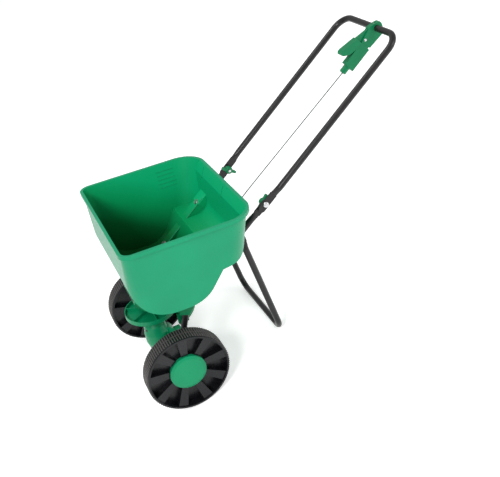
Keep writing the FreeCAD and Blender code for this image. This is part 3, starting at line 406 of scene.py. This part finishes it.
COVER_EDGE = 0.1195                       # inner edge of a tube cover, across the machine
COVER_TOP = 0.0182                        # its top, above the middle of the tube
COVER_ENDS = (-0.118, -0.292)             # its ends, along the tubes from the fold line
COVER_BEAD = 0.0015                       # radius
REAR_RIBS = (-0.137, 0.021)               # across the machine
REAR_RIB_ENDS = ((0.2662, 0.433), (0.2522, 0.4))      # level Y and Z
REAR_RIB_BEAD = 0.0021
FILL_LINES = (0.366, 0.379, 0.392, 0.405, 0.418)      # level Z
FILL_LINE_ENDS = (0.135, 0.193)           # level Y
FILL_LINE_BEAD = 0.0008
BEAD_FACETS = 2


def rod(name, points, radius):
    """Thin moulded bead along points in the row frame."""
    mesh, _ = tube_along(name, points, radius, BEAD_FACETS)
    paint(mesh, "green_plastic")
    bead = show(name, mesh)
    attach(bead, "chassis")


def hopper_details():
    """Raised edges of the tube covers, ribs on the rear wall and filling lines on both side walls."""
    for side, word in ((1, "left"), (-1, "right")):
        edge = [on_handle(side * COVER_EDGE, along, COVER_TOP) for along in COVER_ENDS]
        rod("cover_ridge_" + word, edge, COVER_BEAD)
        for index, z in enumerate(FILL_LINES):
            wall = side * (RIM_INSIDE - (RIM_HEIGHT - z) * math.tan(SIDE_LEAN))
            line = [level(wall, y, z) for y in FILL_LINE_ENDS]
            rod("fill_line_" + word + str(index), line, FILL_LINE_BEAD)
    for index, x in enumerate(REAR_RIBS):
        rib = [level(x, y, z) for y, z in REAR_RIB_ENDS]
        rod("rear_rib_" + str(index), rib, REAR_RIB_BEAD)


# ---------------------------------------------------------------- wheels

TREAD_BASE = 0.1233                       # radius between the ribs
TREAD_TOP = 0.125                         # radius over them
TREAD_FROM = 0.1245                       # beyond this radius, the CAD wheel is its plain tread
TREAD_RIBS = 104
RIB_FOOT = TREAD_BASE - 0.001             # the ribs start inside the tread
RIB_OUTLINE = ((RIB_FOOT, 0.015), (TREAD_TOP, 0.0105),
               (TREAD_TOP, -0.0105), (RIB_FOOT, -0.015))    # radius, and angle from the rib's middle
RIB_ROWS = ((0.1742, 0.1956), (0.1988, 0.2202))       # along the axle, from the middle of the machine
LINE_NEAR, LINE_FAR = 0.1966, 0.1978      # the raised centre line, likewise
LINE_OUTLINE = ((LINE_NEAR, RIB_FOOT), (LINE_FAR, RIB_FOOT),
                (LINE_FAR, TREAD_TOP), (LINE_NEAR, TREAD_TOP))
BRICK_FACES = ((3, 2, 1, 0), (4, 5, 6, 7), (0, 1, 5, 4), (1, 2, 6, 5), (2, 3, 7, 6), (3, 0, 4, 7))


def add_brick(mesh, corners):
    """Closed box from eight corners: four round one end, then four round the other."""
    points = [mesh.verts.new(corner) for corner in corners]
    for face in BRICK_FACES:
        mesh.faces.new([points[index] for index in face])


def on_wheel(x, radius, angle):
    return AXLE + Vector((x, radius * math.sin(angle), radius * math.cos(angle)))


def sink_tread(mesh):
    """Draws the plain tread in, which leaves room for the ribs within the wheel's size."""
    for vert in mesh.verts:
        out = Vector((vert.co.y - AXLE.y, vert.co.z - AXLE.z))
        if out.length > TREAD_FROM:
            out *= TREAD_BASE / out.length
            vert.co.y, vert.co.z = AXLE.y + out.x, AXLE.z + out.y


def add_tread(mesh, side):
    """Fine cross ribs in two rows, one each side of a raised centre line."""
    half_step = math.pi / TREAD_RIBS
    for index in range(TREAD_RIBS):
        middle = 2 * half_step * index
        for row in RIB_ROWS:
            add_brick(mesh, [on_wheel(side * x, radius, middle + turn)
                             for x in row for radius, turn in RIB_OUTLINE])
        add_brick(mesh, [on_wheel(side * x, radius, middle + turn)
                         for turn in (-half_step, half_step) for x, radius in LINE_OUTLINE])


def ribbed_wheel(node, side):
    """The CAD wheel with its tread ribs, whose lighter colour than the rest is a painted highlight."""
    body = body_of(NODES[node])[0]
    data = NODES[node].data.copy()
    mesh = bmesh.new()
    mesh.from_mesh(data)
    moulded = len(mesh.faces)
    sink_tread(mesh)
    add_tread(mesh, side)
    mesh.faces.ensure_lookup_table()
    for face in mesh.faces[moulded:]:
        face.material_index = 1
    bmesh.ops.recalc_face_normals(mesh, faces=mesh.faces[moulded:])
    paint(data, "wheel_plastic", "painted_highlight_tread")    # before to_mesh, which brings the faces' slots
    mesh.to_mesh(data)
    mesh.free()
    wheel = show("ribbed_" + node, data)
    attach(wheel, body)
    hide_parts(node)


# ---------------------------------------------------------------- control cable

CABLE_RADIUS = 0.0015
CABLE_FACETS = 3
CABLE_X = 0.0275                          # across the machine
TRIGGER_EXIT = (0.03, 0.4269, -0.007)     # for on_handle
ABOVE_FOLD = 0.018                        # last place along the upper tubes
BEND_REACH = 0.03                         # each side of the fold line
LOWER_ROUTE = ((0.304, 0.373), (0.278, 0.342), (0.256, 0.307), (0.226, 0.277), (0.193, 0.245),
               (0.166, 0.209), (0.141, 0.184), (0.117, 0.184))        # level Y and Z


def add_cable():
    """One continuous cable from the trigger, past the fold and under the hopper to the shut-off."""
    x = CABLE_X
    route = [on_handle(*TRIGGER_EXIT), on_handle(x, ABOVE_FOLD, 0)]
    route += [level(x, y, z) for y, z in LOWER_ROUTE]
    tube, path = tube_along("control_cable", route, CABLE_RADIUS, CABLE_FACETS, smooth=True)
    paint(tube, "cable_sheath")
    for polygon in tube.polygons:
        polygon.use_smooth = True
    cable = show("control_cable", tube)
    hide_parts("cable_upper", "cable_lower")
    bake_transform(cable, "chassis", "push_handle",
             start=on_handle(x, -BEND_REACH, 0), end=on_handle(x, BEND_REACH, 0))


# ---------------------------------------------------------------- studio

WHITE = (1, 1, 1)
FLOOR_REACH = 12
FLOOR_DROP = 0.0006                       # just clear of the wheels
FLOOR_GLOW = 0.42                         # keeps the shadows pale
WORLD_LIGHT = 0.62
LIGHTS_AIM = Vector((0, -0.1, 0.35))
LIGHTS = (("KeyLight", (2.3, -1.5, 2.7), 0.9, 62),      # name, place, width in metres, watts
          ("FillLight", (1.8, 2.4, 1.6), 1.2, 20),
          ("TopLight", (-0.6, -0.2, 3.2), 1.6, 26))


def add_floor():
    mesh = bpy.data.meshes.new("Floor")
    corners = [(x * FLOOR_REACH, y * FLOOR_REACH, 0) for x, y in ((-1, -1), (1, -1), (1, 1), (-1, 1))]
    mesh.from_pydata(corners, [], [(0, 1, 2, 3)])
    floor = show("Floor", mesh)
    recipe = Recipe("FloorPaper")
    cloud = recipe.noise(1.4, 3)
    recipe.surface(Base_Color=recipe.mottle(cloud, WHITE, 0.9, 0.93), Roughness=recipe.span(cloud, 0.75, 0.9),
                   Emission_Color=(*WHITE, 1), Emission_Strength=FLOOR_GLOW)
    mesh.materials.append(recipe.material)
    floor.location.z = -FLOOR_DROP


def add_studio():
    world = bpy.data.worlds.new("Studio")
    world.use_nodes = True
    background = world.node_tree.nodes["Background"]
    background.inputs["Color"].default_value = (*WHITE, 1)
    background.inputs["Strength"].default_value = WORLD_LIGHT
    bpy.context.scene.world = world
    for name, place, width, power in LIGHTS:
        light = bpy.data.lights.new(name, "AREA")
        light.shape = "DISK"
        light.size = width
        light.energy = power
        lamp = show(name, light)
        lamp.location = place
        lamp.rotation_euler = (LIGHTS_AIM - Vector(place)).to_track_quat("-Z", "Y").to_euler()
    settings = bpy.context.scene.view_settings
    settings.view_transform = "Standard"
    settings.look = "None"
    settings.exposure = 0.0


add_camera()
finish_cad_nodes()
ribbed_wheel("wheel_left", 1)
ribbed_wheel("wheel_right", -1)
add_cable()
hopper_details()
add_floor()
add_studio()
